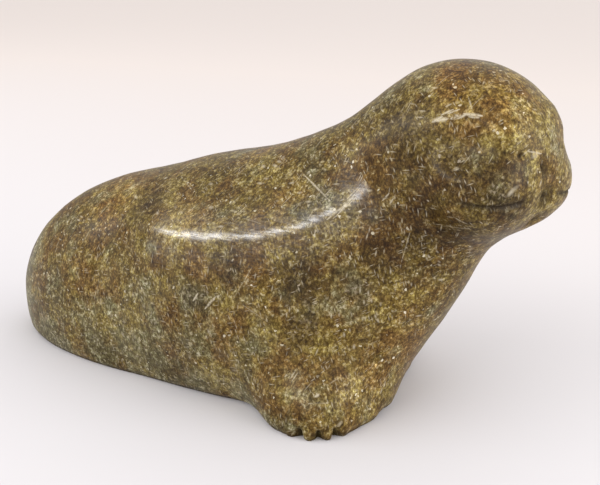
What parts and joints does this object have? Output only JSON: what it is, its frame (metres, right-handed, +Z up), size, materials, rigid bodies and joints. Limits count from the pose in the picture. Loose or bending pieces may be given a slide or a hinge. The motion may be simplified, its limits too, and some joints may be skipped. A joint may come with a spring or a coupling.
{
  "type": "seal figurine",
  "caption": "Polished soapstone seal lying on its belly, head raised and turned a little, with flat base, short front flippers and gouged mouth and toe lines.",
  "frame": {"origin": "bottom centre of the figurine's box, on the flat base", "axes": "+X the way the body points, +Y the seal's left flank, +Z up"},
  "size_m": [0.1262, 0.0555, 0.0661],
  "materials": {
    "stone": "mottled brown and olive soapstone, polished, with fine scratches; sawn and sanded under the base"
  },
  "bodies": {
    "root": {"seal_figurine": "stone"}
  },
  "joints": []
}
